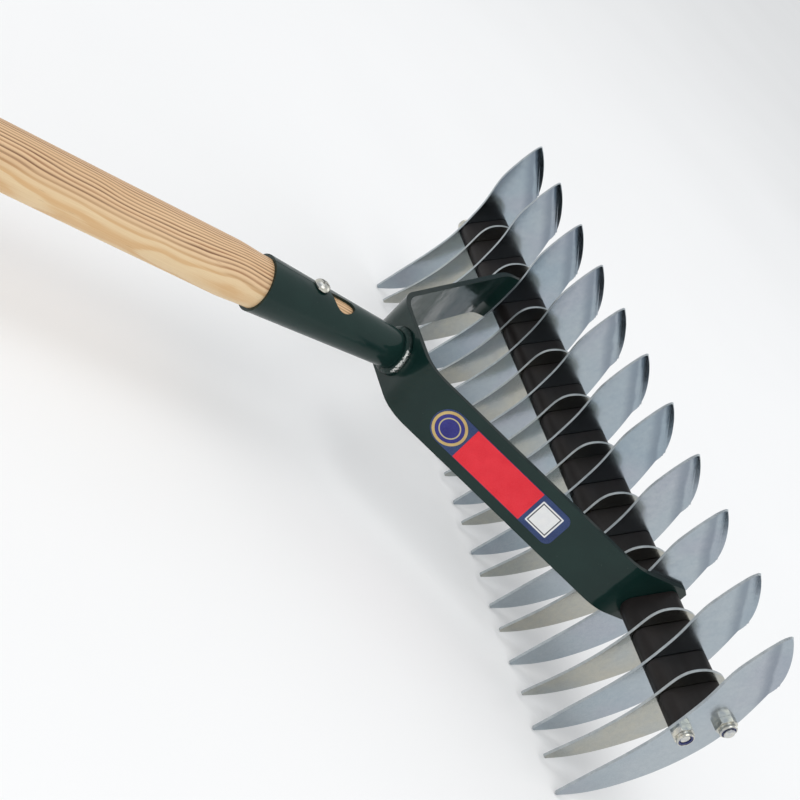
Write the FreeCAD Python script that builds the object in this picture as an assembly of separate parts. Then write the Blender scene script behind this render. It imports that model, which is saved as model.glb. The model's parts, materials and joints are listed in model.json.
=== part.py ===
import FreeCAD, Part
import math
import os

# Two-sided hand scarifying (thatch) rake.
#
# Head frame used while modelling (millimetres):
#   a : in the blade plane, + towards the long tine points
#   Y : along the head, across the width of the rake (the two tie rods run along it)
#   b : along the handle axis, + towards the grip end
# The finished rake is laid down on its tine points and on the grip end of its
# handle: a points down, b points along +X, and the handle drops slightly.

os.makedirs("parts", exist_ok=True)
V = FreeCAD.Vector

# ------------------------------------------------------------------ dimensions
BLADE_T = 1.5            # sheet thickness of every blade
SPACER_L = 17.1          # spacer length along the head
PITCH = 2 * (SPACER_L + BLADE_T)     # double blade to double blade
N_DOUBLE = 11            # long two-ended blades
BAR_T = 3.0              # bracket flat bar thickness
BAR_W = 32.0             # bracket flat bar width
ROD_R = 3.0              # M6 tie rod
ROD_HOLE_R = 3.2
ROD_HALF = 10.8          # tie rods sit this far either side of the head axis
ROD_ANGLE = 51.0         # degrees, direction of the rod pair in the a-b plane
SPACER_HL = 15.4         # spacer section: half length, half thickness, corner
SPACER_HT = 7.3
SPACER_CR = 6.0
FOLD_ANGLE = 27.0        # cutting lens of the wide blade is folded by this
FOLD_STEPS = 5
FOLD_ZONE = 4.0          # developed width of the soft bend
FLAT_B = 137.5           # top of the bracket bridge, above the rod axis
BRIDGE_Y = 27.8          # bridge corner (before rounding)
EAR_B_TOP = 24.5         # ear corner (before rounding)
EAR_B_END = -15.0        # end of the ears
R_BRIDGE = 22.0          # outer bend radii
R_EAR = 24.0
SOCK_R0, SOCK_R1 = 10.2, 14.6        # socket outer radius at base and mouth
SOCK_B1 = 226.5          # socket mouth
SOCK_T = 1.6             # socket wall
SEAM_PHI = 181.0         # seam direction about the handle axis (180 = away from the tines)
SCREW_B = 197.4          # retaining screw position along the socket
HANDLE_R = 14.0          # 28 mm round handle
HANDLE_B0 = 165.0        # inner end of the handle
HANDLE_LEN = 1300.0
GRIP_ROUND = 9.5         # rounding of the grip end
TAPER_B = 246.0          # handle is full size from here
NUT_AF = 10.0            # M6 nyloc nut
NUT_HEX_H = 3.5
NUT_H = 6.1
NUT_COLLAR_R = 4.6
FIT = 0.05               # wood to socket clearance

HANDLE_B1 = HANDLE_B0 + HANDLE_LEN
EAR_Y_IN = 3 * PITCH + BLADE_T / 2           # inner face of the ears
EAR_Y_OUT = EAR_Y_IN + BAR_T

er = (math.cos(math.radians(ROD_ANGLE)), math.sin(math.radians(ROD_ANGLE)))
RODS = [(ROD_HALF * er[0], ROD_HALF * er[1]), (-ROD_HALF * er[0], -ROD_HALF * er[1])]


def double_y(k):
    """Mid plane of double blade k (1 far .. 11 near); the ears add their thickness."""
    y = (k - 6) * PITCH
    if k > 9:
        y += BAR_T
    if k < 3:
        y -= BAR_T
    return y


def tine_y(j):
    """Mid plane of tine blade j (1 .. 10), between double blades j and j + 1."""
    if j >= 9:
        return double_y(j + 1) - PITCH / 2
    return double_y(j) + PITCH / 2


# ------------------------------------------------------------------ placement
tip_a, tip_b = 71.2, 29.6
SIN = (tip_a - HANDLE_R) / (HANDLE_B1 - GRIP_ROUND - tip_b)
TILT = math.asin(SIN)
COS = math.cos(TILT)


def world_matrix(dx, dz):
    """(a, Y, b) -> (X, Y, Z)."""
    m = FreeCAD.Matrix()
    # local axes: xl = b, zl = -a ; X = xl cos + zl sin ; Z = -xl sin + zl cos
    m.A11, m.A12, m.A13, m.A14 = -SIN, 0.0, COS, dx
    m.A21, m.A22, m.A23, m.A24 = 0.0, 1.0, 0.0, 0.0
    m.A31, m.A32, m.A33, m.A34 = -COS, 0.0, -SIN, dz
    return m


# ------------------------------------------------------------------ helpers
def P(a, y, b):
    return V(a, y, b)


def bspline(pts, y=0.0):
    c = Part.BSplineCurve()
    c.interpolate([P(a, y, b) for a, b in pts])
    return c.toShape()


def line(p, q, y=0.0):
    return Part.makeLine(P(p[0], y, p[1]), P(q[0], y, q[1]))


def plate(edges, y0, t):
    """Sheet between y0 and y0 + t from a closed outline drawn at Y = 0."""
    w = Part.Wire(Part.__sortEdges__(edges))
    s = Part.Face(w).extrude(V(0, t, 0))
    s.translate(V(0, y0, 0))
    return s


def rod_holes(shape, y0, y1, r):
    for a, b in RODS:
        shape = shape.cut(Part.makeCylinder(r, y1 - y0, P(a, y0, b), V(0, 1, 0)))
    return shape


def one(shape):
    """Clean a boolean result down to its single solid."""
    s = shape.removeSplitter()
    return s.Solids[0] if len(s.Solids) == 1 else s


# ------------------------------------------------------------------ blades
CONCAVE = [(69.9, 30.6), (58.0, 27.0), (47.0, 23.6), (37.0, 20.4), (26.5, 17.6), (16.0, 15.5),
           (6.0, 14.6), (-4.0, 14.5), (-13.0, 14.8), (-22.0, 16.0), (-30.0, 17.6), (-37.5, 18.4),
           (-45.0, 17.9), (-53.0, 16.8), (-61.6, 14.9)]
CONVEX = [(71.2, 28.6), (66.6, 19.6), (59.6, 10.6), (50.0, 2.0), (39.5, -5.2), (28.5, -10.6),
          (17.5, -14.3), (6.5, -16.4), (-4.5, -16.7), (-15.0, -15.6), (-25.0, -13.7), (-32.0, -12.1)]
FOLD_L = (-32.0, -12.1)      # fold line, lower end on the convex edge
FOLD_C = (-61.6, 14.9)       # fold line, upper end on the concave edge
# blank outline of the lens beyond the fold line: (distance along line, distance outside it)
LENS = [(0.0, 0.0), (2.6, 2.4), (8.0, 4.7), (15.0, 6.1), (22.0, 6.7), (29.0, 6.7), (35.5, 6.2), (40.0, 5.5), (42.0, 5.05)]
LENS_NOSE = (42.95, 4.6)
LENS_TIP = (42.9, 3.85)

fx, fb = FOLD_C[0] - FOLD_L[0], FOLD_C[1] - FOLD_L[1]
flen = math.hypot(fx, fb)
fd = (fx / flen, fb / flen)                 # along the fold line
fn = (-fd[1], fd[0])                        # outward, away from the blade body
if fn[0] * -1 + fn[1] * -1 < 0:
    fn = (fd[1], -fd[0])


def lens_pt(s, d):
    return (FOLD_L[0] + fd[0] * s + fn[0] * d, FOLD_L[1] + fd[1] * s + fn[1] * d)


def tine_tip(p_top, p_low):
    """Small round nose that joins the two long edges of a tine."""
    mx, mb = (p_top[0] + p_low[0]) / 2, (p_top[1] + p_low[1]) / 2
    nx, nb = (p_low[1] - p_top[1]), -(p_low[0] - p_top[0])
    n = math.hypot(nx, nb)
    nx, nb = nx / n, nb / n
    if nx < 0:
        nx, nb = -nx, -nb
    h = 0.42 * n
    return Part.Arc(P(p_top[0], 0, p_top[1]), P(mx + nx * h, 0, mb + nb * h), P(p_low[0], 0, p_low[1])).toShape()


def make_double_blade():
    t = BLADE_T
    body = plate([bspline(CONCAVE), line(FOLD_C, FOLD_L), bspline(CONVEX), tine_tip(CONCAVE[0], CONVEX[0])], -t / 2, t)
    # blank of the lens, before folding
    tip = lens_pt(*LENS_TIP)
    e1 = bspline([lens_pt(*q) for q in LENS])
    e2 = Part.Arc(P(*_p(lens_pt(*LENS[-1]))), P(*_p(lens_pt(*LENS_NOSE))), P(*_p(tip))).toShape()
    blank = plate([e1, e2, line(tip, FOLD_C), line(FOLD_C, FOLD_L)], -t / 2, t)
    pieces = [body]
    step = FOLD_ANGLE / FOLD_STEPS
    widths = [FOLD_ZONE / (FOLD_STEPS - 1)] * (FOLD_STEPS - 1)
    lo = 0.0
    trans = FreeCAD.Matrix()
    for i in range(FOLD_STEPS):
        hi = lo + widths[i] if i < len(widths) else 60.0
        # strip of the blank between lo and hi
        c0 = lens_pt(-30, lo)
        c1 = lens_pt(80, lo)
        c2 = lens_pt(80, hi)
        c3 = lens_pt(-30, hi)
        box = plate([line(c0, c1), line(c1, c2), line(c2, c3), line(c3, c0)], -t / 2 - 1, t + 2)
        strip = blank.common(box)
        # rotate about the line at distance lo (in the already folded frame)
        q = lens_pt(0, lo)
        rot = FreeCAD.Matrix()
        rot.move(V(-q[0], 0, -q[1]))
        r = FreeCAD.Rotation(V(fd[0], 0, fd[1]), step)
        # choose the sense that lifts the lens towards +Y
        test = r.multVec(V(fn[0], 0, fn[1]))
        if test.y < 0:
            r = FreeCAD.Rotation(V(fd[0], 0, fd[1]), -step)
        m2 = r.toMatrix()
        rot = m2.multiply(rot)
        back = FreeCAD.Matrix()
        back.move(V(q[0], 0, q[1]))
        rot = back.multiply(rot)
        # round core that fills the outer side of the fold
        s_lo, s_hi = chord(blank, lo)
        a0 = lens_pt(s_lo, lo)
        core = Part.makeCylinder(t / 2, s_hi - s_lo, P(a0[0], 0, a0[1]), V(fd[0], 0, fd[1]))
        core2 = core.copy()
        core2.Placement = FreeCAD.Placement(trans).multiply(core2.Placement)
        pieces.append(core2)
        trans = trans.multiply(rot)
        s2 = strip.copy()
        s2.Placement = FreeCAD.Placement(trans).multiply(s2.Placement)
        pieces.append(s2)
        lo = hi
    s = pieces[0]
    for p in pieces[1:]:
        s = s.fuse(p)
    s = rod_holes(s, -t, t, ROD_HOLE_R)
    return one(s)


def _p(p):
    return (p[0], 0, p[1])


def chord(blank, d):
    """Where the line at distance d outside the fold line crosses the blank."""
    if d == 0.0:
        return 0.0, flen
    p0, p1 = lens_pt(-20, d), lens_pt(70, d)
    ln = Part.makeLine(P(*_p(p0)), P(*_p(p1)))
    c = ln.common(blank)
    ss = []
    for v in c.Vertexes:
        ss.append((v.Point.x - FOLD_L[0]) * fd[0] + (v.Point.z - FOLD_L[1]) * fd[1])
    return min(ss) + 0.02, max(ss) - 0.02


TINE_TOP = [(67.4, 33.2), (57.0, 28.5), (46.5, 23.8), (36.5, 20.3), (26.5, 17.7), (16.0, 16.0), (6.0, 15.3),
            (-1.0, 15.2), (-7.0, 14.6), (-11.8, 12.4), (-15.2, 8.4), (-17.2, 3.2), (-17.6, -2.5), (-16.6, -8.0),
            (-13.4, -12.8), (-8.4, -15.6), (-2.0, -16.7), (6.5, -16.4), (17.5, -14.2), (28.0, -9.9), (37.4, -4.0),
            (46.0, 2.7), (54.2, 10.4), (63.4, 21.6), (68.8, 31.3)]


def make_tine_blade():
    t = BLADE_T
    b = plate([bspline(TINE_TOP), tine_tip(TINE_TOP[0], TINE_TOP[-1])], -t / 2, t)
    b = rod_holes(b, -t, t, ROD_HOLE_R)
    return one(b)


# ------------------------------------------------------------------ spacers
def make_spacer():
    w = Part.makeBox(2 * SPACER_HL, SPACER_L, 2 * SPACER_HT, P(-SPACER_HL, -SPACER_L / 2, -SPACER_HT))
    long_edges = [e for e in w.Edges if abs(e.tangentAt(e.FirstParameter).y) > 0.9]
    w = w.makeFillet(SPACER_CR, long_edges)
    w.rotate(V(0, 0, 0), V(0, 1, 0), -ROD_ANGLE)
    w = rod_holes(w, -SPACER_L, SPACER_L, ROD_HOLE_R)
    # small moulding chamfer at both end faces' outer rim
    return one(w)


# ------------------------------------------------------------------ bracket
def make_bracket():
    outer = [(-EAR_Y_OUT, EAR_B_END), (-EAR_Y_OUT, EAR_B_TOP), (-BRIDGE_Y, FLAT_B), (BRIDGE_Y, FLAT_B),
             (EAR_Y_OUT, EAR_B_TOP), (EAR_Y_OUT, EAR_B_END)]
    radii = [0, R_EAR, R_BRIDGE, R_BRIDGE, R_EAR, 0]
    wires = []
    for off in (0.0, BAR_T):
        wires.append(path_edges(offset_poly(outer, off), [r - off if r else 0 for r in radii]))
    o0, i0 = wires
    # close the section across the two ends
    s_out, e_out = o0[0].valueAt(o0[0].FirstParameter), o0[-1].valueAt(o0[-1].LastParameter)
    s_in, e_in = i0[0].valueAt(i0[0].FirstParameter), i0[-1].valueAt(i0[-1].LastParameter)
    edges = o0 + i0 + [Part.makeLine(s_out, s_in), Part.makeLine(e_out, e_in)]
    f = Part.Face(Part.Wire(Part.__sortEdges__(edges)))
    s = f.extrude(V(BAR_W, 0, 0))
    s.translate(V(-BAR_W / 2, 0, 0))
    # clipped ear corners
    for sy in (-1, 1):
        for sa in (-1, 1):
            c = 2.5
            tri = Part.makePolygon([P(sa * BAR_W / 2, 0, EAR_B_END), P(sa * (BAR_W / 2 - c), 0, EAR_B_END),
                                    P(sa * BAR_W / 2, 0, EAR_B_END + c * 1.4), P(sa * BAR_W / 2, 0, EAR_B_END)])
            pr = Part.Face(tri).extrude(V(0, 20 * sy, 0))
            pr.translate(V(0, sy * (EAR_Y_IN - 5), 0))
            s = s.cut(pr)
    # tie rod holes in both ears
    s = rod_holes(s, -EAR_Y_OUT - 5, -EAR_Y_IN + 5, ROD_HOLE_R + 0.05)
    s = rod_holes(s, EAR_Y_IN - 5, EAR_Y_OUT + 5, ROD_HOLE_R + 0.05)
    # softened long edges of the bar
    return one(s)


def offset_poly(pts, d):
    """Offset an open y-b polyline to its inner side (towards the blades)."""
    if d == 0:
        return list(pts)
    out = []
    n = len(pts)
    segs = []
    for i in range(n - 1):
        (y0, b0), (y1, b1) = pts[i], pts[i + 1]
        L = math.hypot(y1 - y0, b1 - b0)
        nx, nb = (b1 - b0) / L, -(y1 - y0) / L      # right-hand normal of travel = inner side
        segs.append(((y0 + nx * d, b0 + nb * d), (y1 + nx * d, b1 + nb * d)))
    out.append(segs[0][0])
    for i in range(n - 2):
        (p, q), (r, s) = segs[i], segs[i + 1]
        out.append(cross2(p, q, r, s))
    out.append(segs[-1][1])
    return out


def cross2(p, q, r, s):
    d1 = (q[0] - p[0], q[1] - p[1])
    d2 = (s[0] - r[0], s[1] - r[1])
    den = d1[0] * d2[1] - d1[1] * d2[0]
    t = ((r[0] - p[0]) * d2[1] - (r[1] - p[1]) * d2[0]) / den
    return (p[0] + d1[0] * t, p[1] + d1[1] * t)


def path_edges(pts, radii):
    """Rounded polyline in the plane a = 0, as edges."""
    n = len(pts)
    edges = []
    cur = V(0, pts[0][0], pts[0][1])
    for i in range(1, n - 1):
        p = V(0, pts[i][0], pts[i][1])
        d0 = (V(0, pts[i - 1][0], pts[i - 1][1]) - p).normalize()
        d1 = (V(0, pts[i + 1][0], pts[i + 1][1]) - p).normalize()
        ang = d0.getAngle(d1)
        T = radii[i] / math.tan(ang / 2)
        a = p + d0 * T
        c = p + d1 * T
        bis = (d0 + d1).normalize()
        m = p + bis * (radii[i] / math.sin(ang / 2) - radii[i])
        edges.append(Part.makeLine(cur, a))
        edges.append(Part.Arc(a, m, c).toShape())
        cur = c
    edges.append(Part.makeLine(cur, V(0, pts[-1][0], pts[-1][1])))
    return edges


# ------------------------------------------------------------------ socket
def cone_r(b):
    return SOCK_R0 + (SOCK_R1 - SOCK_R0) * (b - FLAT_B) / (SOCK_B1 - FLAT_B)


def radial_place(shape, b, phi=SEAM_PHI):
    """Place a tool modelled with +Z outward and +Y towards the mouth at height b, on the seam unless told."""
    out = V(math.cos(math.radians(phi)), math.sin(math.radians(phi)), 0)
    up = V(0, 0, 1)
    side = up.cross(out)
    m = FreeCAD.Matrix()
    m.A11, m.A21, m.A31 = side.x, side.y, side.z
    m.A12, m.A22, m.A32 = up.x, up.y, up.z
    m.A13, m.A23, m.A33 = out.x, out.y, out.z
    m.A34 = b
    s = shape.copy()
    s.Placement = FreeCAD.Placement(m).multiply(s.Placement)
    return s


GAP_PHI = 165.0
# outline of the open gap: (across, along the handle axis), its point at the seam
GAP = [(3.53, 191.4), (1.55, 189.9), (-1.1, 188.4), (-2.87, 186.8), (-3.95, 184.9), (-4.36, 182.6), (-3.98, 180.4),
       (-2.65, 178.0), (-0.44, 176.1), (1.77, 175.6), (3.2, 176.5), (4.1, 179.0), (4.25, 182.5), (4.0, 187.0), (3.53, 191.4)]


def make_socket():
    h = SOCK_B1 - FLAT_B
    outer = Part.makeCone(SOCK_R0, SOCK_R1, h, V(0, 0, FLAT_B), V(0, 0, 1))
    inner = Part.makeCone(SOCK_R0 - SOCK_T, SOCK_R1 - SOCK_T, h, V(0, 0, FLAT_B), V(0, 0, 1))
    s = outer.cut(inner)
    # the rolled sheet doesn't quite close below the seam: one edge is straight, the other swings away
    c = Part.BSplineCurve()
    c.interpolate([V(x, y - 184.0, 0) for x, y in GAP])
    f = Part.Face(Part.Wire([c.toShape()]))
    s = s.cut(radial_place(f.extrude(V(0, 0, 30)), 184.0, GAP_PHI))
    # butt seam from the gap up to the mouth
    slot = Part.makeBox(0.3, SOCK_B1 - 189 + 5, 30, V(-0.15, 0, 0))
    s = s.cut(radial_place(slot, 189.0))
    # screw hole
    hole = Part.makeCylinder(2.15, 30, V(0, 0, 0), V(0, 0, 1))
    s = s.cut(radial_place(hole, SCREW_B))
    return one(s)


def make_weld():
    """Fillet weld bead around the foot of the socket, sitting on the bridge."""
    h = 4.2
    wb = 3.6
    r0, r1 = SOCK_R0, cone_r(FLAT_B + h)
    pts = [V(r0, 0, FLAT_B), V(r0 + wb, 0, FLAT_B)]
    arc = Part.Arc(V(r0 + wb, 0, FLAT_B), V(r0 + 2.5, 0, FLAT_B + 2.6), V(r1, 0, FLAT_B + h)).toShape()
    edges = [Part.makeLine(pts[0], pts[1]), arc, Part.makeLine(V(r1, 0, FLAT_B + h), pts[0])]
    f = Part.Face(Part.Wire(Part.__sortEdges__(edges)))
    s = f.revolve(V(0, 0, 0), V(0, 0, 1), 360)
    return one(s)


# ------------------------------------------------------------------ handle
def make_handle():
    ri = lambda b: cone_r(b) - SOCK_T - FIT
    b0 = HANDLE_B0
    rm = ri(SOCK_B1)
    pts = [(0, b0), (ri(b0) - 1.0, b0), (ri(b0 + 1.5), b0 + 1.5), (rm, SOCK_B1)]
    edges = []
    for p, q in zip(pts[:-1], pts[1:]):
        edges.append(Part.makeLine(V(p[0], 0, p[1]), V(q[0], 0, q[1])))
    # gentle shoulder from the socket mouth up to full size
    edges.append(bs_xz([(rm, SOCK_B1), (rm + 0.22, SOCK_B1 + 5), (HANDLE_R - 0.13, TAPER_B - 7), (HANDLE_R, TAPER_B)]))
    e = HANDLE_B1
    edges.append(Part.makeLine(V(HANDLE_R, 0, TAPER_B), V(HANDLE_R, 0, e - GRIP_ROUND)))
    c = math.sqrt(0.5)
    edges.append(Part.Arc(V(HANDLE_R, 0, e - GRIP_ROUND),
                          V(HANDLE_R - GRIP_ROUND + GRIP_ROUND * c, 0, e - GRIP_ROUND + GRIP_ROUND * c),
                          V(HANDLE_R - GRIP_ROUND, 0, e)).toShape())
    edges.append(Part.makeLine(V(HANDLE_R - GRIP_ROUND, 0, e), V(0, 0, e)))
    edges.append(Part.makeLine(V(0, 0, e), V(0, 0, b0)))
    f = Part.Face(Part.Wire(Part.__sortEdges__(edges)))
    s = f.revolve(V(0, 0, 0), V(0, 0, 1), 360)
    s = one(s)
    # pilot hole taken by the retaining screw
    pilot = Part.makeCylinder(SCREW_SHANK_R, 40, V(0, 0, cone_r(SCREW_B) - SCREW_LEN), V(0, 0, 1))
    return one(s.cut(radial_place(pilot, SCREW_B)))


def bs_xz(pts):
    c = Part.BSplineCurve()
    c.interpolate([V(r, 0, b) for r, b in pts])
    return c.toShape()


# ------------------------------------------------------------------ screw
SCREW_SHANK_R = 2.0
SCREW_LEN = 18.0
SCREW_HEAD_R = 4.4
SCREW_HEAD_H = 2.7


def make_screw():
    z0 = cone_r(SCREW_B) + 0.36         # underside of the head clears the curved wall
    rh = SCREW_HEAD_R
    hh = SCREW_HEAD_H
    edges = [
        Part.makeLine(V(0, 0, z0 - SCREW_LEN + 0.4), V(SCREW_SHANK_R, 0, z0 - SCREW_LEN + 2.6)),
        Part.makeLine(V(SCREW_SHANK_R, 0, z0 - SCREW_LEN + 2.6), V(SCREW_SHANK_R, 0, z0)),
        Part.makeLine(V(SCREW_SHANK_R, 0, z0), V(rh, 0, z0)),
        Part.makeLine(V(rh, 0, z0), V(rh, 0, z0 + 0.7)),
        Part.Arc(V(rh, 0, z0 + 0.7), V(rh * 0.74, 0, z0 + hh - 0.45), V(0, 0, z0 + hh)).toShape(),
        Part.makeLine(V(0, 0, z0 + hh), V(0, 0, z0 - SCREW_LEN + 0.4)),
    ]
    f = Part.Face(Part.Wire(Part.__sortEdges__(edges)))
    s = f.revolve(V(0, 0, 0), V(0, 0, 1), 360)
    # cross recess: tapered cross
    for ang in (45, 135):
        w, L = 0.95, 4.8
        lo = Part.makePolygon([V(-L / 4, -w / 3, z0 + 0.7), V(L / 4, -w / 3, z0 + 0.7), V(L / 4, w / 3, z0 + 0.7),
                               V(-L / 4, w / 3, z0 + 0.7), V(-L / 4, -w / 3, z0 + 0.7)])
        hi = Part.makePolygon([V(-L / 2, -w / 2, z0 + 3), V(L / 2, -w / 2, z0 + 3), V(L / 2, w / 2, z0 + 3),
                               V(-L / 2, w / 2, z0 + 3), V(-L / 2, -w / 2, z0 + 3)])
        tool = Part.makeLoft([lo, hi], True)
        tool.rotate(V(0, 0, 0), V(0, 0, 1), ang)
        s = s.cut(tool)
    return radial_place(one(s), SCREW_B)


# ------------------------------------------------------------------ rods and nuts
HEAD_Y = double_y(11) + BLADE_T / 2          # outer face of the last blade


def make_nut(a, b, side, turn):
    """Nyloc nut, its flat face on the outer blade; side is +1 or -1 along Y."""
    r = NUT_AF / 2 / math.cos(math.pi / 6)
    hexa = Part.makePolygon([V(r * math.cos(math.radians(60 * i + turn)), r * math.sin(math.radians(60 * i + turn)), 0)
                             for i in range(7)])
    body = Part.Face(hexa).extrude(V(0, 0, NUT_HEX_H))
    # chamfered hex crown
    body = body.common(Part.makeCone(r + 1.9, r - 0.35, NUT_HEX_H, V(0, 0, 0), V(0, 0, 1)))
    # waisted round collar with a rolled lip
    cr = NUT_COLLAR_R
    z1, z2 = NUT_HEX_H - 1.0, NUT_H - 1.5
    e = [Part.makeLine(V(0, 0, z1), V(cr - 0.3, 0, z1)),
         Part.makeLine(V(cr - 0.3, 0, z1), V(cr - 0.3, 0, z2)),
         Part.Arc(V(cr - 0.3, 0, z2), V(cr, 0, z2 + 0.6), V(cr - 0.2, 0, NUT_H - 0.3)).toShape(),
         Part.Arc(V(cr - 0.2, 0, NUT_H - 0.3), V(cr - 0.38, 0, NUT_H - 0.08), V(cr - 0.65, 0, NUT_H)).toShape(),
         Part.makeLine(V(cr - 0.65, 0, NUT_H), V(0, 0, NUT_H)),
         Part.makeLine(V(0, 0, NUT_H), V(0, 0, z1))]
    col = Part.Face(Part.Wire(Part.__sortEdges__(e))).revolve(V(0, 0, 0), V(0, 0, 1), 360)
    n = body.fuse(col)
    n = n.cut(Part.makeCylinder(ROD_R, 20, V(0, 0, -2), V(0, 0, 1)))
    # seat for the nylon ring
    n = n.cut(Part.makeCylinder(RING_R, 2.2, V(0, 0, NUT_H - 2.2), V(0, 0, 1)))
    return put_end(one(n), a, b, side)


RING_R = 3.75


def make_ring(a, b, side):
    ro = RING_R
    s = Part.makeCylinder(ro, 1.8, V(0, 0, NUT_H - 2.2), V(0, 0, 1))
    s = s.cut(Part.makeCylinder(ROD_R, 5, V(0, 0, NUT_H - 4), V(0, 0, 1)))
    return put_end(one(s), a, b, side)


def put_end(s, a, b, side):
    m = FreeCAD.Matrix()
    if side > 0:      # local z -> +Y, local x -> a, local y -> -b
        m.A11, m.A21, m.A31 = 1, 0, 0
        m.A12, m.A22, m.A32 = 0, 0, -1
        m.A13, m.A23, m.A33 = 0, 1, 0
    else:
        m.A11, m.A21, m.A31 = 1, 0, 0
        m.A12, m.A22, m.A32 = 0, 0, 1
        m.A13, m.A23, m.A33 = 0, -1, 0
    m.A14, m.A24, m.A34 = a, side * HEAD_Y, b
    s = s.copy()
    s.Placement = FreeCAD.Placement(m).multiply(s.Placement)
    return s


def make_rod(i, y0, y1):
    a, b = RODS[i]
    c = 0.6
    s = Part.makeCylinder(ROD_R, (y1 - y0) - 2 * c, P(a, y0 + c, b), V(0, 1, 0))
    s = s.fuse(Part.makeCone(ROD_R - c, ROD_R, c, P(a, y0, b), V(0, 1, 0)))
    s = s.fuse(Part.makeCone(ROD_R, ROD_R - c, c, P(a, y1 - c, b), V(0, 1, 0)))
    return one(s)


# ------------------------------------------------------------------ label on the near leg
LEG_D = math.hypot(EAR_Y_OUT - BRIDGE_Y, FLAT_B - EAR_B_TOP)
leg_t = ((EAR_Y_OUT - BRIDGE_Y) / LEG_D, (EAR_B_TOP - FLAT_B) / LEG_D)     # down the leg (Y, b)
leg_n = (-leg_t[1], leg_t[0])                                             # outward (Y, b)
LEG_O = (37.2, FLAT_B + (37.2 - BRIDGE_Y) * leg_t[1] / leg_t[0])           # s = 0 on the leg


def leg_place(s, lift):
    """Tool frame: x = a, y = down the leg, z = outward."""
    m = FreeCAD.Matrix()
    m.A11, m.A21, m.A31 = 1, 0, 0
    m.A12, m.A22, m.A32 = 0, leg_t[0], leg_t[1]
    m.A13, m.A23, m.A33 = 0, leg_n[0], leg_n[1]
    m.A24 = LEG_O[0] + leg_n[0] * lift
    m.A34 = LEG_O[1] + leg_n[1] * lift
    # keep the frame right-handed
    if FreeCAD.Vector(m.A11, m.A21, m.A31).cross(FreeCAD.Vector(m.A12, m.A22, m.A32)).dot(
            FreeCAD.Vector(m.A13, m.A23, m.A33)) < 0:
        m.A11 = -1
    c = s.copy()
    c.Placement = FreeCAD.Placement(m).multiply(c.Placement)
    return c


def rounded_plate(x0, x1, y0, y1, r, z0, t):
    s = Part.makeBox(x1 - x0, y1 - y0, t, V(x0, y0, z0))
    ed = [e for e in s.Edges if abs(e.tangentAt(e.FirstParameter).z) > 0.9]
    return s.makeFillet(r, ed)


LABEL_T = 0.2
BADGE_S = 12.6           # badge centre, down the leg
BADGE_R = 9.2
LABEL_HW = 10.0


def make_label_sheet():
    s = rounded_plate(-LABEL_HW, LABEL_HW, BADGE_S - LABEL_HW, 88.0, LABEL_HW - 0.2, 0, LABEL_T)
    e = rounded_plate(-LABEL_HW, LABEL_HW, 60.0, 88.0, 4.2, 0, LABEL_T)
    return leg_place(one(s.fuse(e)), 0.0)


def make_label_panel():
    return leg_place(rounded_plate(-9.75, 9.75, 23.2, 68.2, 0.3, 0, 0.12), LABEL_T)


def make_label_patch():
    return leg_place(rounded_plate(-7.1, 7.1, 70.4, 84.2, 0.5, 0, 0.12), LABEL_T)


def make_badge_ring():
    s = Part.makeCylinder(BADGE_R, 0.25, V(0, BADGE_S, 0)).cut(Part.makeCylinder(BADGE_R - 1.5, 0.25, V(0, BADGE_S, 0)))
    return leg_place(s, LABEL_T)


def make_badge_disc():
    return leg_place(Part.makeCylinder(BADGE_R - 1.5, 0.16, V(0, BADGE_S, 0)), LABEL_T)


# ------------------------------------------------------------------ assemble
parts = {}
parts["handle"] = make_handle()
parts["handle_socket"] = make_socket()
parts["socket_weld"] = make_weld()
parts["handle_screw"] = make_screw()
parts["bracket"] = make_bracket()

dbl = make_double_blade()
tin = make_tine_blade()
spc = make_spacer()
for k in range(1, N_DOUBLE + 1):
    s = dbl.copy()
    s.translate(V(0, double_y(k), 0))
    parts["double_blade_%02d" % k] = s
for j in range(1, N_DOUBLE):
    s = tin.copy()
    s.translate(V(0, tine_y(j), 0))
    parts["tine_blade_%02d" % j] = s
n = 0
for j in range(1, N_DOUBLE):
    for yc in (tine_y(j) - (BLADE_T + SPACER_L) / 2, tine_y(j) + (BLADE_T + SPACER_L) / 2):
        n += 1
        s = spc.copy()
        s.translate(V(0, yc, 0))
        parts["spacer_%02d" % n] = s

parts["tie_rod_front"] = make_rod(0, -HEAD_Y - 7.6, HEAD_Y + NUT_H - 0.9)
parts["tie_rod_rear"] = make_rod(1, -HEAD_Y - 6.6, HEAD_Y + NUT_H + 1.4)
NUT_TURN = ((22.0, 0.0), (41.0, 15.0))       # far and near nut of each rod, degrees
nuts, rings = [], []
for i, (a, b) in enumerate(RODS):
    for side in (-1, 1):
        nuts.append(make_nut(a, b, side, NUT_TURN[i][side > 0]))
        rings.append(make_ring(a, b, side))
parts["lock_nuts"] = Part.makeCompound(nuts)
parts["nylon_rings"] = Part.makeCompound(rings)
parts["label_sheet"] = make_label_sheet()
parts["label_panel"] = make_label_panel()
parts["label_patch"] = make_label_patch()
parts["badge_ring"] = make_badge_ring()
parts["badge_disc"] = make_badge_disc()

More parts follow.
